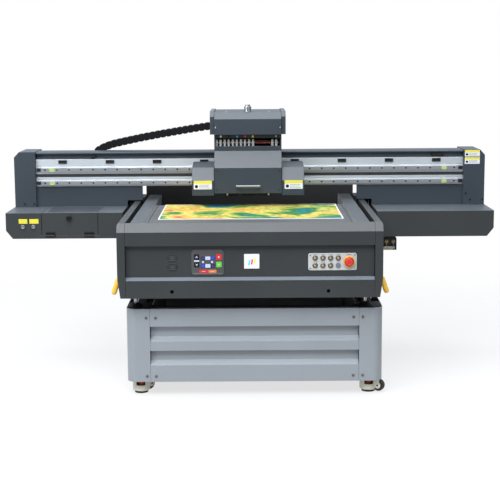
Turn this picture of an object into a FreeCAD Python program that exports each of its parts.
import FreeCAD, Part
import math
import os

# Flatbed UV printer: a fixed vacuum table on a castered stand, a gantry that travels
# from back to front over the table, and a print carriage that travels along the gantry.
#
# Frame: millimetres, +Z up, +X to the operator's right, the operator stands at -Y.
# The source below measures Y from the front face of the apron and Z from a datum just
# under the floor; export() moves every piece by -Y_MID and -FLOOR_Z so that the origin
# is on the floor under the middle of the printer.

os.makedirs("parts", exist_ok=True)
V = FreeCAD.Vector

# ---- driving dimensions (mm) -------------------------------------------------------
Y_MID = 591.0                 # middle of the overall depth (-2 .. 1184)
FLOOR_Z = 12.0                # source height of the floor

# stand
STAND_X = 18.0                # the stand sits this far to the right under the body
BASE_X = 571.5                # half width
BASE_SEAM = 465.0             # half width of the flat front panel
BASE_Y0, BASE_Y1 = 71.0, 1085.0
BASE_Z0, BASE_Z1 = 76.0, 409.0
BASE_R = 45.0                 # rounded vertical corners
SHEET = 2.5                   # stand sheet metal
GROOVES = ((328.0, 278.0, 262.0), (218.0, 171.0, 153.0))   # top, ledge top, ledge bottom
GROOVE_DEPTH = 26.0
CASTER_X, CASTER_Y = 514.0, (146.0, 1010.0)
CASTER_TURN = {"fl": -40.0, "fr": -115.0, "rl": -70.0, "rr": -20.0}   # swivel at rest
TRAIL = 50.0                  # wheel axle behind the swivel axis
WHEEL_R = 27.0
AXLE_Z = 43.0                 # foot pads down, wheels 4 mm off the floor
FOOT_X, FOOT_Y = 513.0, (130.0, 1020.0)

# body
BODY_X = 580.0
TOP_X = 575.0                 # half width of the top strips
SEAM_X = 544.5                # joint between apron and side covers
SLOT_X0, SLOT_X1 = 523.0, 545.0
BODY_Z0, BODY_Z1 = 470.0, 799.0
BODY_Y1 = 1154.0
BEVEL_Z, BAND_Z, LEDGE_Z1, LEDGE_Z0 = 761.0, 701.0, 560.0, 548.0
FACE_Y = 22.0                 # recessed front face
LOWER_Y = 0.0                 # lower band
COVER = 2.0                   # cover sheet metal
TABLE_X, TABLE_Y0, TABLE_Y1 = 459.5, 34.0, 700.0
TABLE_Z0, TABLE_Z1 = 742.0, 797.0
BOARD = (-409.0, 418.0, 150.0, 694.0, 3.0)

# front controls
KEYPAD = (-256.0, -114.0, 568.0, 682.0)
KEYS = (                      # x, z, width, height, corner radius
    (-233.2, 649.5, 22.3, 24.0, 2.0),
    (-233.2, 615.4, 22.3, 22.5, 2.0),
    (-233.2, 632.0, 22.3, 6.0, 1.0),
    (-205.5, 644.3, 17.4, 14.8, 1.5),
    (-184.5, 644.3, 22.3, 14.8, 1.5),
    (-163.3, 644.3, 17.9, 14.8, 1.5),
    (-205.5, 610.5, 17.4, 15.7, 1.5),
    (-184.5, 610.5, 22.3, 15.7, 1.5),
    (-163.3, 610.5, 17.9, 15.7, 1.5),
    (-205.5, 627.4, 9.0, 9.0, 3.0),
    (-166.0, 627.4, 9.0, 9.0, 3.0),
    (-136.3, 649.4, 24.0, 25.0, 3.0),
    (-136.3, 616.1, 24.0, 24.0, 3.0),
    (-203.2, 585.9, 37.8, 14.6, 4.0),
    (-164.6, 585.9, 36.0, 14.6, 4.0),
)
SWITCH_PLATE = (254.0, 466.0, 587.5, 663.5)
BUTTON_X = (284.0, 318.0, 351.5, 385.0)
BUTTON_Z = (642.0, 609.0)
BUTTON_R = 9.0
BUTTON_TRAVEL = 3.0
LAMP_PLACE = 7                # the last place on the plate is a fixed indicator lamp
ESTOP = (432.0, 626.0)
ESTOP_R = 19.0
ESTOP_Y = -2.0                # front of the mushroom
GRIP_R = 12.0

# gantry
BEAM_X = 1066.0
BEAM_Y0, BEAM_Y1 = 866.0, 986.0
BEAM_Z0, BEAM_Z1 = 875.0, 1010.0
RAIL_Z = ((884.0, 902.0), (950.0, 968.0))
RAIL_Y0 = 850.0
RAIL_X = 1040.0
COVER_Z1 = 1047.0
UPRIGHT = (1067.0, 1172.0, 848.0, 1059.0, 774.0, 1049.0)
WING_X0, WING_X1 = 612.0, 1176.0
WING_Y0, WING_Y1 = 604.0, 1059.0
WING_Z0, WING_Z1 = 649.0, 774.0
WING_CHAMFER = (1144.0, 689.0)
DOOR = (-1002.0, -733.0, 850.0, 664.0)      # x0, x1, rear edge of its top, lower edge
LEG_Y0, LEG_Y1 = 884.0, 1040.0
CLIP_X = (226.0, 461.0, 696.0, 932.0)

# carriage
CAR_X = -7.0                  # rest position of the carriage
CAR_HALF = 161.5
CAR_Y0, CAR_Y1 = 600.0, 810.0
CAR_Z0 = 863.0
LAMP_HALF0, LAMP_HALF1 = 163.0, 269.0
INK_Z0, INK_Z1 = 1144.0, 1250.0
INK_Y1 = 960.0
HEIGHT = 1285.0
CHAIN_HEIGHT = 38.0


# ---- helpers -----------------------------------------------------------------------
def box(x0, x1, y0, y1, z0, z1):
    return Part.makeBox(x1 - x0, y1 - y0, z1 - z0, V(x0, y0, z0))


def cyl(r, h, x, y, z, axis="z"):
    direction = {"x": V(1, 0, 0), "y": V(0, 1, 0), "z": V(0, 0, 1)}[axis]
    return Part.makeCylinder(r, h, V(x, y, z), direction)


def cone(r0, r1, h, x, y, z):
    return Part.makeCone(r0, r1, h, V(x, y, z), V(0, 0, 1))


def extrude(points, vector):
    wire = Part.makePolygon(points + [points[0]])
    return Part.Face(wire).extrude(vector)


def prism_yz(points, x0, x1):
    return extrude([V(x0, y, z) for y, z in points], V(x1 - x0, 0, 0))


def prism_xz(points, y0, y1):
    return extrude([V(x, y0, z) for x, z in points], V(0, y1 - y0, 0))


def prism_xy(points, z0, z1):
    return extrude([V(x, y, z0) for x, y in points], V(0, 0, z1 - z0))


def sheet(line, t):
    """Closed outline of a bent sheet: the line and the same line moved t to its right."""
    moved = []
    for i, (a, b) in enumerate(line):
        normals = []
        for j in (i - 1, i):
            if 0 <= j < len(line) - 1:
                da = line[j + 1][0] - line[j][0]
                db = line[j + 1][1] - line[j][1]
                length = math.hypot(da, db)
                normals.append((db / length, -da / length))
        na = sum(n[0] for n in normals)
        nb = sum(n[1] for n in normals)
        length = math.hypot(na, nb)
        na, nb = na / length, nb / length
        k = t / (na * normals[0][0] + nb * normals[0][1])
        moved.append((a + na * k, b + nb * k))
    return line + moved[::-1]


def fuse(shapes):
    shapes = list(shapes)
    if len(shapes) == 1:
        return shapes[0]
    return shapes[0].multiFuse(shapes[1:]).removeSplitter()


def cut(shape, tools):
    return shape.cut(Part.makeCompound(list(tools)))


def mirrored(shape):
    return shape.mirror(V(0, 0, 0), V(1, 0, 0))


def both_sides(shape):
    return [shape, mirrored(shape)]


def round_edges(shape, r, axis):
    """Fillet the straight edges of a shape that run along one axis."""
    picked = []
    for edge in shape.Edges:
        if len(edge.Vertexes) == 2:
            d = edge.Vertexes[1].Point.sub(edge.Vertexes[0].Point)
            if abs(getattr(d, axis)) > 0.999 * d.Length:
                picked.append(edge)
    return shape.makeFillet(r, picked)


def plate_xz(x0, x1, z0, z1, y0, y1, r):
    return round_edges(box(x0, x1, y0, y1, z0, z1), r, "y")


def hex_nut(across, h, x, y, z):
    r = across / math.sqrt(3.0)
    points = []
    for i in range(6):
        a = math.radians(60.0 * i)
        points.append((x + r * math.cos(a), y + r * math.sin(a)))
    return prism_xy(points, z, z + h)


def square_tube(x0, x1, y0, y1, z0, z1, wall, axis):
    outer = box(x0, x1, y0, y1, z0, z1)
    if axis == "x":
        return outer.cut(box(x0, x1, y0 + wall, y1 - wall, z0 + wall, z1 - wall))
    if axis == "y":
        return outer.cut(box(x0 + wall, x1 - wall, y0, y1, z0 + wall, z1 - wall))
    return outer.cut(box(x0 + wall, x1 - wall, y0 + wall, y1 - wall, z0, z1))


def export(name, solids, dx=0.0):
    """Write one node: every separate piece in it stays a separate solid."""
    pieces = []
    for shape in solids:
        pieces.extend(shape.Solids)
    moved = []
    for piece in pieces:
        copy = piece.copy()
        copy.translate(V(dx, -Y_MID, -FLOOR_Z))
        moved.append(copy)
    shape = moved[0] if len(moved) == 1 else Part.makeCompound(moved)
    shape.exportStep("parts/" + name + ".step")


# ---- stand -------------------------------------------------------------------------
def stand():
    x0, x1 = 494.0, 534.0
    y0, y1 = 118.0, 1038.0
    tubes = []
    for sx in (-1, 1):
        a, b = sorted((sx * x0, sx * x1))
        for ya in (y0, y1 - 40.0):
            tubes.append(box(a, b, ya, ya + 40.0, 82.0, BASE_Z1))
        for za in (82.0, 365.0):
            tubes.append(square_tube(a, b, y0 + 40.0, y1 - 40.0, za, za + 40.0, 3.0, "y"))
    for ya in (y0, y1 - 40.0):
        for za in (82.0, 365.0):
            tubes.append(square_tube(-x0, x0, ya, ya + 40.0, za, za + 40.0, 3.0, "x"))
    frame = fuse(tubes)
    pads = []
    for sx in (-1, 1):
        for yc in CASTER_Y:
            a, b = sorted((sx * 450.0, sx * 552.0))
            ya, yb = (96.0, 200.0) if yc < 500.0 else (956.0, 1060.0)
            pads.append(box(a, b, ya, yb, BASE_Z0, 82.0))
    frame = fuse([frame] + pads)
    holes = []
    for sx in (-1, 1):
        for yc in CASTER_Y:
            holes.append(cyl(6.1, 12.0, sx * CASTER_X, yc, 75.0))
    frame = cut(frame, holes)
    export("base_frame", [frame], STAND_X)

    # rounded corner columns
    def column():
        outer = box(BASE_SEAM + 0.5, BASE_X, BASE_Y0, 175.0, BASE_Z0, BASE_Z1)
        corner = [e for e in outer.Edges if len(e.Vertexes) == 2
                  and abs(e.Vertexes[0].X - BASE_X) < 0.01 and abs(e.Vertexes[1].X - BASE_X) < 0.01
                  and abs(e.Vertexes[0].Y - BASE_Y0) < 0.01 and abs(e.Vertexes[1].Y - BASE_Y0) < 0.01]
        outer = outer.makeFillet(BASE_R, corner)
        inner = box(BASE_SEAM - 5.0, BASE_X - SHEET, BASE_Y0 + SHEET, 190.0,
                    BASE_Z0 - 1.0, BASE_Z1 + 1.0)
        corner = [e for e in inner.Edges if len(e.Vertexes) == 2
                  and abs(e.Vertexes[0].X - BASE_X + SHEET) < 0.01
                  and abs(e.Vertexes[1].X - BASE_X + SHEET) < 0.01
                  and abs(e.Vertexes[0].Y - BASE_Y0 - SHEET) < 0.01
                  and abs(e.Vertexes[1].Y - BASE_Y0 - SHEET) < 0.01]
        return outer.cut(inner.makeFillet(BASE_R - SHEET, corner))

    front = column()
    rear = front.mirror(V(0, (BASE_Y0 + BASE_Y1) / 2.0, 0), V(0, 1, 0))
    export("base_corner_posts", both_sides(front) + both_sides(rear), STAND_X)

    line = [(BASE_Y0 + 24.0, BASE_Z0), (BASE_Y0, BASE_Z0)]
    for top, ledge1, ledge0 in reversed(GROOVES):
        line.append((BASE_Y0, ledge0))
        line.append((BASE_Y0 + GROOVE_DEPTH, ledge1))
        line.append((BASE_Y0 + GROOVE_DEPTH, top))
        line.append((BASE_Y0, top))
    line += [(BASE_Y0, BASE_Z1), (BASE_Y0 + 24.0, BASE_Z1)]
    panel = prism_yz(sheet(line, SHEET), -BASE_SEAM, BASE_SEAM)
    export("base_front_panel", [panel], STAND_X)

    # side panels, and a rear panel with two rows of air slots
    side = box(BASE_X - SHEET, BASE_X, 176.0, BASE_Y1 - 105.0, BASE_Z0, BASE_Z1)
    slots = []
    for i in range(7):
        for j in range(2):
            slots.append(box(BASE_X - 5.0, BASE_X + 2.0, 300.0 + 300.0 * j, 460.0 + 300.0 * j,
                             262.0 + 16.0 * i, 268.0 + 16.0 * i))
    side = cut(side, slots)
    rear_panel = box(-BASE_SEAM, BASE_SEAM, BASE_Y1 - SHEET, BASE_Y1, BASE_Z0, BASE_Z1)
    slots = []
    for i in range(7):
        for j in (-1, 1):
            slots.append(box(200.0 * j - 80.0, 200.0 * j + 80.0, BASE_Y1 - 5.0, BASE_Y1 + 2.0,
                             262.0 + 16.0 * i, 268.0 + 16.0 * i))
    rear_panel = cut(rear_panel, slots)
    # equipment bay: a pan on the lower tubes, two walls, and a strip along each wall
    pan = box(-520.0, 520.0, 132.0, 1024.0, 122.0, 124.0)
    notches = []
    for sx in (-1, 1):
        a, b = sorted((sx * 493.5, sx * 521.0))
        notches += [box(a, b, 131.0, 158.5, 120.0, 126.0), box(a, b, 997.5, 1025.0, 120.0, 126.0)]
    pan = cut(pan, notches)
    wall = box(456.0, 458.5, 160.0, 996.0, 124.0, 411.0)
    strip = box(455.0, 459.5, 160.0, 996.0, 411.0, 413.0)
    pieces = both_sides(side) + [rear_panel, pan] + both_sides(wall) + both_sides(strip)
    export("base_panels", pieces, STAND_X)

    screws = []
    for z in (102.0, 368.0):
        for x in (440.0, 481.5):
            for sx in (-1, 1):
                head = cyl(6.0, 3.0, sx * x, BASE_Y0 - 3.0, z, "y")
                socket = cyl(3.0, 2.0, sx * x, BASE_Y0 - 3.0, z, "y")
                screws.append(head.cut(socket))
    export("base_screws", screws, STAND_X)

    corner = box(460.0, 567.0, 75.0, 205.0, BASE_Z1, BASE_Z1 + 3.0)
    outer = [e for e in corner.Edges if abs(e.BoundBox.XMin - 567.0) < 0.01
             and abs(e.BoundBox.YMax - 75.0) < 0.01]
    corner = corner.makeFillet(40.0, outer)
    rear_corner = corner.mirror(V(0, (BASE_Y0 + BASE_Y1) / 2.0, 0), V(0, 1, 0))
    export("base_corner_plates", both_sides(corner) + both_sides(rear_corner), STAND_X)

    # levelling feet between the stand and the body
    feet = []
    z0 = BASE_Z1 + 3.0
    for sx in (-1, 1):
        for yc in FOOT_Y:
            pad = cone(33.0, 20.0, 16.0, sx * FOOT_X, yc, z0)
            stud = cyl(8.0, BODY_Z0 - z0 - 16.0, sx * FOOT_X, yc, z0 + 16.0)
            nut = hex_nut(24.0, 12.0, sx * FOOT_X, yc, z0 + 33.0)
            feet += [pad, fuse([stud, nut])]
    export("levelling_feet", feet)


# ---- levelling casters -------------------------------------------------------------
def casters():
    """Each caster is drawn on its swivel axis with the wheel behind it, then turned."""
    names = {(-1, 0): "fl", (1, 0): "fr", (-1, 1): "rl", (1, 1): "rr"}
    for (sx, row), tag in names.items():
        # housing: round drum with two side windows, and two cheeks that reach the axle
        drum = cyl(39.0, 49.0, 0.0, 0.0, 22.0)
        drum = drum.makeFillet(6.0, [e for e in drum.Edges if abs(e.BoundBox.ZMax - 22.0) < 0.01])
        drum = drum.cut(cyl(31.0, 26.0, 0.0, 0.0, 47.0))
        roof = cyl(39.0, 4.0, 0.0, 0.0, 71.0)
        bridge = box(-18.0, 18.0, 0.0, TRAIL + 8.0, 71.0, 75.0)
        stud = cyl(6.0, 10.0, 0.0, 0.0, 75.0)
        cheeks = []
        for side in (-1, 1):
            xc = side * 15.5
            arm = box(xc - 2.5, xc + 2.5, 30.0, TRAIL + 8.0, 36.0, 75.0)
            hub = cyl(14.0, 5.0, xc - 2.5, TRAIL, AXLE_Z, "x")
            cheeks.append(fuse([arm, hub]))
        housing = fuse([drum, roof, bridge, stud] + cheeks)
        room = box(-13.0, 13.0, 21.0, 90.0, 10.0, 71.0)
        windows = []
        for turn in (-CASTER_TURN[tag] - 90.0, -CASTER_TURN[tag] + 90.0):
            window = box(22.0, 45.0, -20.0, 20.0, 49.0, 67.0)
            window.rotate(V(0, 0, 0), V(0, 0, 1), turn)
            windows.append(window)
        axle_hole = cyl(4.06, 50.0, -25.0, TRAIL, AXLE_Z, "x")
        screw_hole = cyl(8.3, 30.0, 0.0, 0.0, 20.0)
        housing = cut(housing, [room, axle_hole, screw_hole] + windows)
        stem = cyl(8.0, 52.0, 0.0, 0.0, 18.0)
        foot = fuse([stem, cyl(30.0, 6.0, 0.0, 0.0, FLOOR_Z), cone(30.0, 14.0, 3.0, 0.0, 0.0, 18.0)])
        dial = cyl(19.0, 14.0, 0.0, 0.0, 50.0)
        notches = []
        for i in range(12):
            a = math.radians(30.0 * i)
            notches.append(cyl(2.6, 16.0, 20.5 * math.cos(a), 20.5 * math.sin(a), 49.0))
        dial = cut(dial, notches).cut(stem)

        tyre = cyl(WHEEL_R, 22.0, -11.0, TRAIL, AXLE_Z, "x")
        tyre = tyre.makeFillet(3.0, [e for e in tyre.Edges if len(e.Vertexes) == 1])
        core = cyl(18.0, 24.0, -12.0, TRAIL, AXLE_Z, "x")
        axle = cyl(4.0, 38.0, -19.0, TRAIL, AXLE_Z, "x")
        tyre = tyre.cut(core)

        groups = (("caster_", [housing, dial, foot]), ("wheel_", [tyre, fuse([core, axle])]))
        for name, shapes in groups:
            placed = []
            for shape in shapes:
                shape.rotate(V(0, 0, 0), V(0, 0, 1), CASTER_TURN[tag])
                shape.translate(V(sx * CASTER_X, CASTER_Y[row], 0))
                placed.append(shape)
            export(name + tag, placed, STAND_X)


# ---- body --------------------------------------------------------------------------
APRON_LINE = [(34.0, BODY_Z0), (LOWER_Y, BODY_Z0), (LOWER_Y, LEDGE_Z0), (FACE_Y, LEDGE_Z1),
              (FACE_Y, BAND_Z), (0.0, BAND_Z), (0.0, BEVEL_Z), (28.0, BODY_Z1), (32.0, BODY_Z1)]
SIDE_LINE = [(SLOT_X1, 772.0), (SLOT_X1, BODY_Z1), (TOP_X, BODY_Z1), (BODY_X, 790.0),
             (BODY_X, 555.0), (568.0, BODY_Z0), (546.0, BODY_Z0)]


def body():
    # frame: every tube is its own piece, and they meet face to face
    rails = []
    for sx in (-1, 1):
        a, b = sorted((sx * 486.0, sx * 536.0))
        rails.append(box(a, b, 40.0, 1140.0, 470.0, 510.0))
        c, d = sorted((sx * 470.0, sx * 520.0))
        rails.append(box(c, d, 40.0, 1140.0, 640.0, 680.0))
        for yc in (40.0, 560.0, 1100.0):
            rails.append(box(c, d, yc, yc + 40.0, 510.0, 640.0))
    for yc in (40.0, 560.0, 1100.0):
        rails.append(box(-486.0, 486.0, yc, yc + 40.0, 470.0, 510.0))
    for yc in (60.0, 340.0, 620.0):
        rails.append(box(-470.0, 470.0, yc, yc + 40.0, 640.0, 680.0))
        for xc in (-380.0, 340.0):
            rails.append(box(xc, xc + 40.0, yc, yc + 40.0, 680.0, TABLE_Z0))
    shaft_bearings = []
    for sx in (-1, 1):
        a, b = sorted((sx * 500.0, sx * 520.0))
        block = box(a, b, 1105.0, 1135.0, 680.0, 752.0)
        shaft_bearings.append(block.cut(cyl(8.05, 30.0, min(a, b) - 5.0, 1120.0, 735.0, "x")))
    export("body_frame", rails + shaft_bearings)

    apron = prism_yz(sheet(APRON_LINE, COVER), -544.0, 544.0)
    x0, x1, z0, z1 = SWITCH_PLATE
    openings = [box(x0 + 12.0, x1 - 12.0, 15.0, 30.0, z0 + 9.0, z1 - 9.0)]
    for sx in (-1, 1):
        openings.append(cyl(8.0, 20.0, sx * 342.0, 0.0, 499.0, "y"))
    for z in (607.0, 647.0):
        openings.append(box(-352.0, -328.0, 15.0, 30.0, z - 12.0, z + 12.0))
    apron = cut(apron, openings)
    export("front_apron", [apron])

    # side cover: bent sheet, closed at the front by the apron profile and at the rear flat
    front_region = prism_yz([(-50.0, 400.0), (-50.0, 900.0), (28.0, 900.0), (28.0, BODY_Z1),
                             (0.0, BEVEL_Z), (0.0, 400.0)], 500.0, 620.0)
    outline = prism_xz([(545.0, BODY_Z0), (568.0, BODY_Z0), (BODY_X, 555.0),
                        (BODY_X, 790.0), (TOP_X, BODY_Z1), (545.0, BODY_Z1)],
                       -10.0, BODY_Y1)
    skin = prism_xz(sheet(SIDE_LINE, COVER), -10.0, BODY_Y1)
    line = [(28.0, BODY_Z0), (0.0, BODY_Z0), (0.0, BEVEL_Z), (28.0, BODY_Z1), (31.0, BODY_Z1)]
    cap = prism_yz(sheet(line, COVER), 545.0, 590.0).common(outline)
    rear_cap = outline.common(box(540.0, 600.0, BODY_Y1 - COVER, BODY_Y1, 400.0, 900.0))
    side = fuse([skin.cut(front_region), cap, rear_cap])
    for name, shape in (("side_cover_right", side), ("side_cover_left", mirrored(side))):
        export(name, [shape])

    line = [(461.0, 690.0), (461.0, BODY_Z1), (SLOT_X0, BODY_Z1), (SLOT_X0, 772.0)]
    strip = prism_xz(sheet(line, COVER), 33.0, BODY_Y1)
    nose = box(463.0, 521.0, 33.0, 35.0, 772.0, 797.0)
    strip = fuse([strip, nose])
    shaft_gap = box(455.0, 470.0, 1106.0, 1134.0, 680.0, 750.0)
    strip = strip.cut(shaft_gap)
    for name, shape in (("rail_cover_right", strip), ("rail_cover_left", mirrored(strip))):
        export(name, [shape])

    guides = []
    for sx in (-1, 1):
        a, b = sorted((sx * 485.0, sx * 505.0))
        rail = box(a, b, 60.0, 1100.0, 680.0, 700.0)
        holes = [cyl(4.5, 9.0, (a + b) / 2.0, 90.0 + 60.0 * i, 692.0) for i in range(17)]
        guides.append(cut(rail, holes))
    export("y_rails", guides)

    shaft = cyl(8.0, 1124.0, -562.0, 1120.0, 735.0, "x")
    pulleys = []
    for x in (-560.0, 546.0):
        wheel = cyl(18.0, 14.0, x, 1120.0, 735.0, "x")
        teeth = []
        for i in range(20):
            a = math.radians(18.0 * i)
            teeth.append(cyl(1.4, 10.0, x + 2.0, 1120.0 + 18.0 * math.cos(a),
                             735.0 + 18.0 * math.sin(a), "x"))
        pulleys.append(cut(wheel, teeth))
    export("y_drive_shaft", [fuse([shaft] + pulleys)])

    # vacuum table: plate with a hole pattern over a closed plenum box
    plenum = box(-TABLE_X + 8.0, TABLE_X - 8.0, TABLE_Y0 + 8.0, TABLE_Y1 - 8.0,
                 TABLE_Z0, TABLE_Z1 - 12.0)
    plenum = plenum.cut(box(-TABLE_X + 20.0, TABLE_X - 20.0, TABLE_Y0 + 20.0, TABLE_Y1 - 20.0,
                            TABLE_Z0 + 6.0, TABLE_Z1 - 11.0))
    plate = box(-TABLE_X, TABLE_X, TABLE_Y0, TABLE_Y1, TABLE_Z1 - 12.0, TABLE_Z1)
    holes = []
    for i in range(15):
        for j in range(9):
            holes.append(cyl(1.5, 14.0, -420.0 + 60.0 * i, 100.0 + 67.0 * j, TABLE_Z1 - 13.0))
    grooves = []
    for x in (-448.0, 444.0):
        grooves.append(box(x, x + 4.0, TABLE_Y0 - 1.0, TABLE_Y1 + 1.0, TABLE_Z1 - 3.0, TABLE_Z1 + 1.0))
    plate = cut(plate, holes + grooves)
    export("vacuum_table", [plate, plenum])

    x0, x1, y0, y1, t = BOARD
    export("media_board", [box(x0, x1, y0, y1, TABLE_Z1, TABLE_Z1 + t)])

    shield = box(-541.0, 541.0, BODY_Y1, 1172.0, BODY_Z0, 868.0)
    shield = shield.cut(box(-538.0, 538.0, BODY_Y1 + 2.0, 1173.0, BODY_Z0 + 3.0, 865.0))
    deck = prism_yz(sheet([(706.0, 740.0), (706.0, 690.0), (1150.0, 690.0)], -COVER),
                    -460.5, 460.5)
    deck = deck.cut(box(-461.0, 461.0, 1104.0, 1136.0, 716.0, 754.0))
    outlet = round_edges(box(-130.0, 130.0, BODY_Y1 + 2.0, 1184.0, 520.0, 610.0), 8.0, "y")
    slots = []
    for i in range(5):
        slots.append(box(-110.0, 110.0, 1176.0, 1186.0, 534.0 + 14.0 * i, 540.0 + 14.0 * i))
    export("rear_shield", [shield, deck, cut(outlet, slots)])


# ---- front controls ----------------------------------------------------------------
def controls():
    x0, x1, z0, z1 = KEYPAD
    pad = plate_xz(x0, x1, z0, z1, FACE_Y - 3.0, FACE_Y, 16.0)
    keys = []
    for x, z, w, h, r in KEYS:
        keys.append(plate_xz(x - w / 2.0, x + w / 2.0, z - h / 2.0, z + h / 2.0,
                             FACE_Y - 4.2, FACE_Y - 3.0, r))
    export("keypad", [pad] + keys)

    x0, x1, z0, z1 = SWITCH_PLATE
    plate = plate_xz(x0, x1, z0, z1, FACE_Y - 3.0, FACE_Y, 9.0)
    centres = [(x, z) for z in BUTTON_Z for x in BUTTON_X]
    holes = [cyl(BUTTON_R + 1.0, 8.0, x, FACE_Y - 5.0, z, "y") for x, z in centres]
    holes.append(cyl(9.0, 8.0, ESTOP[0], FACE_Y - 5.0, ESTOP[1], "y"))
    plate = cut(plate, holes)
    corner_screws = []
    for x in (x0 + 9.0, x1 - 9.0):
        for z in (z0 + 9.0, z1 - 9.0):
            corner_screws.append(cyl(3.5, 1.5, x, FACE_Y - 4.5, z, "y"))
    export("switch_plate", [plate] + corner_screws)

    lamp_x, lamp_z = centres[LAMP_PLACE]
    moving = [c for i, c in enumerate(centres) if i != LAMP_PLACE]
    bezels = []
    for x, z in moving:
        ring = cyl(12.0, 4.0, x, FACE_Y - 7.0, z, "y")
        ring = ring.makeChamfer(1.0, [e for e in ring.Edges if abs(e.BoundBox.YMin - 15.0) < 0.01
                                      and e.BoundBox.YLength < 0.01])
        barrel = cyl(BUTTON_R + 1.0, 16.0, x, FACE_Y - 3.0, z, "y")
        bezels.append(fuse([ring, barrel]).cut(cyl(BUTTON_R + 0.08, 30.0, x, 10.0, z, "y")))
    lamp = fuse([cyl(11.5, 4.5, lamp_x, FACE_Y - 7.5, lamp_z, "y"),
                 cyl(BUTTON_R, 16.0, lamp_x, FACE_Y - 3.0, lamp_z, "y")])
    # yellow shroud round the mushroom
    shroud = cyl(24.5, 16.0, ESTOP[0], FACE_Y - 19.0, ESTOP[1], "y")
    rim = [e for e in shroud.Edges if abs(e.BoundBox.YMax - FACE_Y + 19.0) < 0.01]
    shroud = shroud.makeChamfer(2.0, rim)
    shroud = shroud.cut(cyl(ESTOP_R + 1.5, 13.0, ESTOP[0], FACE_Y - 20.0, ESTOP[1], "y"))
    neck = cyl(9.0, 18.0, ESTOP[0], FACE_Y - 3.0, ESTOP[1], "y")
    bore = cyl(6.06, 40.0, ESTOP[0], 0.0, ESTOP[1], "y")
    shroud = fuse([shroud, neck]).cut(bore)
    export("control_bezels", bezels + [lamp, shroud])

    for i, (x, z) in enumerate(moving):
        cap = cyl(BUTTON_R, 22.0, x, FACE_Y - 10.0, z, "y")
        cap = cap.makeChamfer(0.8, [e for e in cap.Edges if abs(e.BoundBox.YMin - 12.0) < 0.01
                                    and e.BoundBox.YLength < 0.01])
        export("button_" + str(i + 1), [cap])

    # the mushroom stands clear of the shroud floor by more than its travel
    x, z = ESTOP
    dome = cyl(ESTOP_R, 9.0, x, ESTOP_Y, z, "y")
    dome = dome.makeFillet(5.0, [e for e in dome.Edges if abs(e.BoundBox.YMax - ESTOP_Y) < 0.01])
    stem = cyl(6.0, 38.0, x, ESTOP_Y + 6.0, z, "y")
    export("estop_head", [fuse([dome, stem])])

    tile = plate_xz(-26.0, 40.5, 597.0, 661.5, FACE_Y - 2.0, FACE_Y, 2.0)
    fittings = [tile]
    for z in (607.0, 647.0):
        frame = plate_xz(-356.0, -324.0, z - 16.0, z + 16.0, FACE_Y - 4.0, FACE_Y, 3.0)
        socket = box(-351.0, -329.0, FACE_Y - 5.0, FACE_Y - 1.0, z - 11.0, z + 11.0)
        fittings.append(frame.cut(socket))
        for x in (-361.0, -319.0):
            fittings.append(cyl(2.6, 2.0, x, FACE_Y - 2.0, z - 2.0, "y"))
    export("front_fittings", fittings)

    # grips that swing out under the side covers
    p0 = V(592.5, 150.0, 524.0)
    p1 = V(611.0, 150.0, 471.0)
    axis = p1.sub(p0)
    rod = Part.makeCylinder(GRIP_R, axis.Length, p0, axis)
    rod = fuse([rod, Part.makeSphere(GRIP_R, p0), Part.makeSphere(GRIP_R, p1)])
    lug = box(572.0, 592.0, 143.0, 157.0, 515.0, 531.0)
    wedge = prism_xz([(560.0, 400.0), (568.0, 470.0), (580.0, 555.0), (560.0, 560.0)], 100.0, 200.0)
    grip = fuse([rod, lug]).cut(wedge)
    grips = both_sides(grip)
    export("side_grips", grips)


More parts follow.
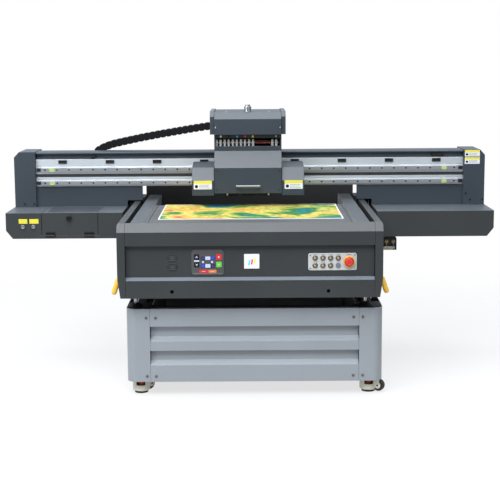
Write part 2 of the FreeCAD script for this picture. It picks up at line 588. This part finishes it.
# ---- gantry ------------------------------------------------------------------------
def gantry():
    beam = box(-BEAM_X, BEAM_X, BEAM_Y0, BEAM_Y1, BEAM_Z0, BEAM_Z1)
    beam = beam.cut(box(-BEAM_X, BEAM_X, BEAM_Y0 + 12.0, BEAM_Y1 - 6.0,
                        BEAM_Z0 + 6.0, BEAM_Z1 - 6.0))
    grooves = [box(-BEAM_X, BEAM_X, BEAM_Y0 - 1.0, BEAM_Y0 + 7.0, 922.0, 937.0),
               box(-BEAM_X, BEAM_X, BEAM_Y0 - 1.0, BEAM_Y0 + 3.0, 973.0, 977.0),
               box(-BEAM_X, BEAM_X, BEAM_Y0 - 1.0, BEAM_Y0 + 3.0, 907.0, 911.0),
               box(-BEAM_X, BEAM_X, BEAM_Y1 - 4.0, BEAM_Y1 + 1.0, 920.0, 930.0)]
    export("beam", [cut(beam, grooves)])

    rails = []
    for z0, z1 in RAIL_Z:
        rail = box(-RAIL_X, RAIL_X, RAIL_Y0, BEAM_Y0, z0, z1)
        waist = []
        for z in (z0, z1):
            waist.append(prism_yz([(RAIL_Y0 + 5.0, z), (RAIL_Y0 + 8.0, z + (2.0 if z == z0 else -2.0)),
                                   (RAIL_Y0 + 11.0, z)], -RAIL_X, RAIL_X))
        holes = []
        for i in range(35):
            holes.append(cyl(4.5, 8.0, -1020.0 + 60.0 * i, RAIL_Y0 - 1.0, (z0 + z1) / 2.0, "y"))
        rails.append(cut(cut(rail, waist), holes))
    export("x_rails", rails)

    pieces = [box(-1040.0, 1040.0, BEAM_Y0 + 4.5, BEAM_Y0 + 7.0, 925.0, 934.0)]
    for x in CLIP_X:
        for sx in (-1, 1):
            clip = box(sx * x - 21.0, sx * x + 21.0, BEAM_Y0 - 7.0, BEAM_Y0, 989.0, 1006.0)
            clip = clip.cut(box(sx * x - 14.0, sx * x + 14.0, BEAM_Y0 - 8.0, BEAM_Y0 - 4.0,
                                994.0, 1001.0))
            pieces.append(clip)
    for sx in (-1, 1):
        for z0, z1 in RAIL_Z:
            a, b = sorted((sx * 1040.5, sx * 1062.0))
            pieces.append(box(a, b, RAIL_Y0 + 2.0, BEAM_Y0, z0 + 1.0, z1 - 1.0))
    export("belt_and_clips", pieces)

    line = [(984.0, BEAM_Z1), (984.0, COVER_Z1), (888.0, COVER_Z1), (868.0, 1042.0),
            (868.0, 1036.0), (890.0, 1036.0), (890.0, BEAM_Z1)]
    cover = prism_yz(sheet(line, -COVER), -BEAM_X, BEAM_X)
    tray = prism_yz(sheet([(986.0, 1005.0), (986.0, 962.0), (1056.0, 962.0), (1056.0, 985.0)],
                          -COVER), -930.0, 60.0)
    sensors = [box(-790.0, -770.0, 874.0, 890.0, 1012.0, 1031.0),
               box(910.0, 970.0, 876.0, 890.0, 1012.0, 1031.0)]
    export("beam_cover", [cover, tray] + sensors)

    # end boxes
    x0, x1, y0, y1, z0, z1 = UPRIGHT
    outer = prism_xz([(x0, z0), (x1, z0), (x1, 1022.0), (1147.0, z1), (x0, z1)], y0, y1)
    inner = prism_xz([(x0 + 2.0, z0), (x1 - 2.0, z0), (x1 - 2.0, 1021.0), (1146.0, z1 - 2.0),
                      (x0 + 2.0, z1 - 2.0)], y0 + 2.0, y1 - 2.0)
    upright = outer.cut(inner)
    opening = box(x0 - 1.0, x0 + 4.0, BEAM_Y0 + 12.0, BEAM_Y1 - 6.0, BEAM_Z0 + 6.0, BEAM_Z1 - 6.0)
    upright = upright.cut(opening)
    left_screws = []
    for x in (-1124.0, -1077.0):
        left_screws.append(cyl(5.0, 3.0, x, y0 - 3.0, 790.0, "y"))
    right_screws = []
    for x, z in ((1079.0, 830.0), (1100.0, 800.0), (1164.0, 800.0)):
        right_screws.append(cyl(5.0, 3.0, x, y0 - 3.0, z, "y"))
    motor = box(1085.0, 1145.0, 900.0, 960.0, 840.0, 900.0)
    motor = fuse([motor, box(1069.0, 1085.0, 896.0, 964.0, 836.0, 904.0)])
    export("upright_right", [upright] + right_screws + [motor])
    export("upright_left", [mirrored(upright)] + left_screws + [mirrored(motor)])

    # wing boxes
    outline = [(WING_X0, WING_Z0), (WING_CHAMFER[0], WING_Z0), (WING_X1, WING_CHAMFER[1]),
               (WING_X1, WING_Z1), (WING_X0, WING_Z1)]
    inner = [(WING_X0 + 2.0, WING_Z0 + 2.0), (WING_CHAMFER[0] - 1.0, WING_Z0 + 2.0),
             (WING_X1 - 2.0, WING_CHAMFER[1] + 1.0), (WING_X1 - 2.0, WING_Z1 - 2.0),
             (WING_X0 + 2.0, WING_Z1 - 2.0)]
    shell = prism_xz(outline, WING_Y0, WING_Y1).cut(prism_xz(inner, WING_Y0 + 2.0, WING_Y1 - 2.0))
    tank = round_edges(box(760.0, 980.0, 800.0, 1000.0, 651.0, 760.0), 10.0, "z")
    export("wing_right", [shell, tank])
    left = mirrored(shell)
    x0, x1, yr, zl = DOOR
    left = cut(left, [box(x0 - 2.0, x1 + 2.0, WING_Y0 - 1.0, yr + 2.0, zl, WING_Z1 + 1.0)])
    caps = box(-950.0, -785.0, 650.0, 815.0, 700.0, 745.0)
    wells = []
    for i in range(3):
        wells.append(box(-935.0 + 50.0 * i, -900.0 + 50.0 * i, 665.0, 800.0, 735.0, 746.0))
    lift = box(-900.0, -835.0, 690.0, 770.0, 651.0, 700.0)
    fittings = []
    for x in (-1093.0, -1042.0):
        fittings.append(cyl(9.5, 10.0, x, WING_Y0 - 10.0, 708.0, "y").cut(
            cyl(5.0, 8.0, x, WING_Y0 - 11.0, 708.0, "y")))
    for xa, xb in ((-1113.0, -1072.0), (-1062.0, -1018.0)):
        fittings.append(box(xa, xb, WING_Y0 - 0.6, WING_Y0, 723.0, 745.0))
    export("wing_left", [left, cut(caps, wells), lift] + fittings)

    # door: L-shaped lid over the capping station, with air slots in its top
    line = [(WING_Y0, zl + 0.6), (WING_Y0, WING_Z1), (yr, WING_Z1)]
    door = prism_yz(sheet(line, COVER), x0, x1)
    slots = []
    for i in range(17):
        for j in range(4):
            xs = -980.0 + 14.5 * i
            ys = 640.0 + 50.0 * j
            slots.append(box(xs, xs + 9.0, ys, ys + 42.0, WING_Z1 - 4.0, WING_Z1 + 1.0))
    door = cut(door, slots + [cyl(4.55, 10.0, -870.0, WING_Y0 - 2.0, 750.0, "y")])
    hinges = []
    for xc in (-961.5, -775.0):
        leaf = box(xc - 22.5, xc + 22.5, WING_Y0 - 5.0, WING_Y0, zl + 1.0, 680.0)
        knuckle = cyl(5.0, 45.0, xc - 22.5, WING_Y0 - 6.0, zl, "x")
        hinges.append(fuse([leaf, knuckle]))
    export("wing_door", [door] + hinges)
    knob = cyl(12.5, 12.0, -870.0, WING_Y0 - 17.0, 750.0, "y")
    knob = knob.makeFillet(2.5, [e for e in knob.Edges if abs(e.BoundBox.YMin - 587.0) < 0.01
                                 and e.BoundBox.YLength < 0.01])
    neck = cyl(8.0, 4.5, -870.0, WING_Y0 - 5.0, 750.0, "y")
    pin = cyl(4.5, 14.0, -870.0, WING_Y0 - 2.0, 750.0, "y")
    tongue = box(-875.0, -865.0, WING_Y0 + 8.0, WING_Y0 + 12.0, 738.0, 760.0)
    export("door_knob", [fuse([knob, neck, pin, tongue])])

    # panels that close the space between wing boxes and beam
    panel = box(536.0, 1066.5, 868.0, 870.0, WING_Z1, BEAM_Z0)
    panel = fuse([panel, box(536.0, 538.0, 868.0, 880.0, 806.0, BEAM_Z0)])
    low = box(530.0, 611.0, 860.0, 875.0, 770.0, 803.0)
    panel = panel.cut(low)
    export("beam_panels", both_sides(panel))

    trucks = []
    upper = box(560.0, 576.0, LEG_Y0, LEG_Y1, 815.0, BEAM_Z0)
    foot_plate = box(560.0, 700.0, LEG_Y0, BEAM_Y1, 868.0, BEAM_Z0)
    flange = box(527.0, 650.0, LEG_Y0, LEG_Y1, 803.0, 815.0)
    hanger = box(630.0, 650.0, LEG_Y0, LEG_Y1, WING_Z1, 803.0)
    web = box(528.0, 540.0, LEG_Y0, LEG_Y1, 722.0, 803.0)
    sole = box(470.0, 540.0, LEG_Y0, LEG_Y1, 712.0, 722.0)
    skirt = fuse([box(584.0, 611.0, LEG_Y1 - 4.0, LEG_Y1, 700.0, 803.0),
                  box(584.0, 640.0, LEG_Y1 - 4.0, LEG_Y1, WING_Z1, 803.0)])
    leg = fuse([upper, foot_plate, flange, hanger, web, sole, skirt])
    for y0 in (890.0, 975.0):
        block = box(472.0, 518.0, y0, y0 + 60.0, 685.0, 712.0)
        trucks.append(block.cut(box(484.5, 505.5, y0 - 1.0, y0 + 61.0, 680.0, 700.5)))
    legs = both_sides(leg)
    for block in trucks:
        legs += both_sides(block)
    export("gantry_legs", legs)

    # drain bracket under the right wing
    plate = prism_xz([(643.0, 582.0), (710.0, 582.0), (710.0, 636.0), (704.0, 649.0),
                      (643.0, 649.0)], 618.0, 622.0)
    bar = box(640.0, 700.0, 606.0, 618.0, 590.0, 600.0)
    items = [plate, bar]
    for x in (660.0, 693.0):
        fitting = fuse([cyl(9.0, 12.0, x, 606.0, 624.0, "y"), cyl(4.0, 16.0, x, 612.0, 602.0)])
        items.append(fitting)
    export("drain_bracket", items)


# ---- carriage ----------------------------------------------------------------------
def carriage():
    cx = CAR_X
    plate = box(cx - 160.0, cx + 160.0, 812.0, 822.0, 872.0, 1100.0)
    # arm that carries the end of the cable chain, passing under the ink box
    arm = fuse([box(-160.0, -120.0, 812.0, 1000.0, 1094.0, 1100.0),
                box(-160.0, -120.0, 994.0, 1000.0, 1094.0, 1146.0),
                box(-180.0, -126.0, 994.0, 1046.0, 1140.0, 1146.0)])
    plate = fuse([plate, arm])
    blocks = []
    for z0, z1 in RAIL_Z:
        for xc in (cx - 115.0, cx + 65.0):
            block = box(xc, xc + 50.0, 822.0, 862.0, z0 - 12.0, z1 + 12.0)
            blocks.append(block.cut(box(xc - 1.0, xc + 51.0, RAIL_Y0 - 0.5, 870.0,
                                        z0 - 0.5, z1 + 0.5)))
    guides = []
    for x in (cx - 100.0, cx + 100.0):
        guides.append(box(x - 10.0, x + 10.0, 800.0, 812.0, 900.0, 1092.0))
    export("carriage_plate", [plate] + blocks + guides)

    # cover: lower dark front, slanted light panel and the recessed window above it
    profile = [(CAR_Y0, CAR_Z0), (CAR_Y0, 986.0), (640.0, 1064.0), (640.0, INK_Z0),
               (CAR_Y1, INK_Z0), (CAR_Y1, CAR_Z0)]
    inner = [(CAR_Y0 + 3.0, CAR_Z0 - 1.0), (CAR_Y0 + 3.0, 985.0), (643.0, 1063.0),
             (643.0, INK_Z0 - 3.0), (CAR_Y1 - 3.0, INK_Z0 - 3.0), (CAR_Y1 - 3.0, CAR_Z0 - 1.0)]
    shell = prism_yz(profile, cx - CAR_HALF, cx + CAR_HALF).cut(
        prism_yz(inner, cx - CAR_HALF + 3.0, cx + CAR_HALF - 3.0))
    window = box(cx - 154.0, cx + 154.0, 630.0, 650.0, 1087.0, 1125.0)
    slots = []
    for x in (cx - 100.0, cx + 100.0):
        slots.append(box(x - 10.5, x + 10.5, 799.0, 815.0, CAR_Z0 - 1.0, 1140.0))
    shell = cut(shell, [window] + slots)
    floor = box(cx - 158.0, cx + 158.0, 604.0, 796.0, CAR_Z0, CAR_Z0 + 6.0)
    heads = []
    pockets = []
    for i in range(3):
        xh = cx - 112.0 + 78.0 * i
        pockets.append(box(xh, xh + 68.0, 650.0, 760.0, CAR_Z0 - 1.0, CAR_Z0 + 8.0))
        body_block = box(xh + 0.5, xh + 67.5, 650.5, 759.5, 850.0, 960.0)
        nozzle = box(xh + 8.0, xh + 60.0, 660.0, 750.0, 846.0, 850.0)
        heads.append(fuse([body_block, nozzle]))
    floor = cut(floor, pockets)
    export("carriage_cover", [shell, floor])
    export("print_heads", heads)

    ears = []
    outline = [(CAR_Y0, INK_Z0), (CAR_Y0, 1219.0), (636.0, INK_Z1), (INK_Y1, INK_Z1),
               (INK_Y1, INK_Z0)]
    tank = prism_yz(outline, cx - 160.0, cx + 160.0)
    room = prism_yz([(CAR_Y0 + 4.0, INK_Z0 + 4.0), (CAR_Y0 + 4.0, 1217.0), (638.0, INK_Z1 - 4.0),
                     (INK_Y1 - 4.0, INK_Z1 - 4.0), (INK_Y1 - 4.0, INK_Z0 + 4.0)],
                    cx - 156.0, cx + 156.0)
    tank = tank.cut(room)
    for sx in (-1, 1):
        a, b = sorted((cx + sx * 160.0, cx + sx * 181.0))
        ears.append(prism_yz([(612.0, INK_Z0 + 1.0), (612.0, 1230.0), (640.0, 1254.0),
                              (INK_Y1, 1254.0), (INK_Y1, INK_Z0 + 1.0)], a, b))
    screws = []
    for sx in (-1, 1):
        screws.append(cyl(4.0, 3.0, cx + sx * 158.0 - sx * 4.0, CAR_Y0 - 3.0, 1178.0, "y"))
    export("ink_box", [tank] + ears + screws)

    valves = []
    starts = (-150.0, -111.0, -72.0, -33.0, 6.0, 118.0)
    for x in starts:
        for dx in (0.0, 19.0):
            stem = cyl(6.0, 32.0, cx + x + dx, 656.0, 1087.0)
            collar = cyl(8.0, 6.0, cx + x + dx, 656.0, 1100.0)
            valves.append(fuse([stem, collar]))
    shelf = box(cx - 158.4, cx + 158.4, 643.0, 700.0, 1081.0, 1087.0)
    lamps = []
    for x in (-130.0, -91.0, -51.0, -13.0, 24.0, 135.0):
        lamps.append(cyl(5.0, 3.0, cx + x, 637.0, 1128.0 + 6.0, "y"))
    tubes = []
    for i, x in enumerate(starts):
        tubes.append(cyl(4.0, 300.0, cx - 150.0, 672.0 + 9.0 * (i % 3), 1100.0 + 9.0 * (i // 3), "x"))
    export("ink_fittings", valves + [shelf] + lamps + tubes)

    boxes = []
    profile = [(604.0, 853.0), (604.0, 925.0), (636.0, 986.0), (740.0, 1000.0),
               (CAR_Y1, 1000.0), (CAR_Y1, 853.0)]
    room = [(607.0, 856.0), (607.0, 924.0), (638.0, 983.0), (740.0, 997.0), (CAR_Y1 - 3.0, 997.0),
            (CAR_Y1 - 3.0, 856.0)]
    for sx in (-1, 1):
        a, b = sorted((cx + sx * LAMP_HALF0, cx + sx * LAMP_HALF1))
        lamp = prism_yz(profile, a, b).cut(prism_yz(room, a + 3.0, b - 3.0))
        lamp = lamp.cut(box(a + 20.0, b - 20.0, 660.0, 780.0, 850.0, 860.0))
        lens = box(a + 20.0, b - 20.0, 660.0, 780.0, 850.0, 856.0)
        module = box(a + 15.0, b - 15.0, 650.0, 790.0, 856.0, 930.0)
        boxes += [lamp, lens, module]
        hinge = box(cx + sx * 161.5 if sx > 0 else cx - 163.0,
                    cx + 163.0 if sx > 0 else cx - 161.5, 650.0, 780.0, 880.0, 970.0)
        boxes.append(hinge)
    export("lamp_boxes", boxes)

    bar = cyl(6.0, 116.0, cx - 58.0, 574.0, 900.0, "x")
    posts = [cyl(4.5, 26.0, cx + x, 574.0, 900.0, "y") for x in (-50.0, 50.0)]
    handle = fuse([bar] + posts)
    pins = [cyl(4.0, 10.0, cx + x, 612.0, 853.0) for x in (-100.0, 98.0)]
    bolt = cyl(17.0, 26.0, cx, 655.0, INK_Z1)
    bolt = fuse([bolt, cyl(12.0, HEIGHT - INK_Z1, cx, 655.0, INK_Z1)])
    export("carriage_hardware", [handle, bolt] + pins)

    # hose and cable chain from the tray behind the beam to the carriage arm
    outer = [(-130.0, 1189.0), (-206.0, 1183.0), (-280.0, 1172.0), (-372.0, 1157.0),
             (-463.0, 1142.0), (-556.0, 1125.0), (-647.0, 1106.0), (-700.0, 1094.0),
             (-740.0, 1081.0), (-775.0, 1064.0), (-798.0, 1040.0), (-802.0, 1010.0),
             (-788.0, 984.0), (-756.0, 968.0), (-700.0, 964.5), (40.0, 964.5)]
    band = sheet(outer, -CHAIN_HEIGHT)
    chain = prism_xz(band, 1000.0, 1046.0)
    export("drag_chain", [chain])


stand()
casters()
body()
controls()
gantry()
carriage()
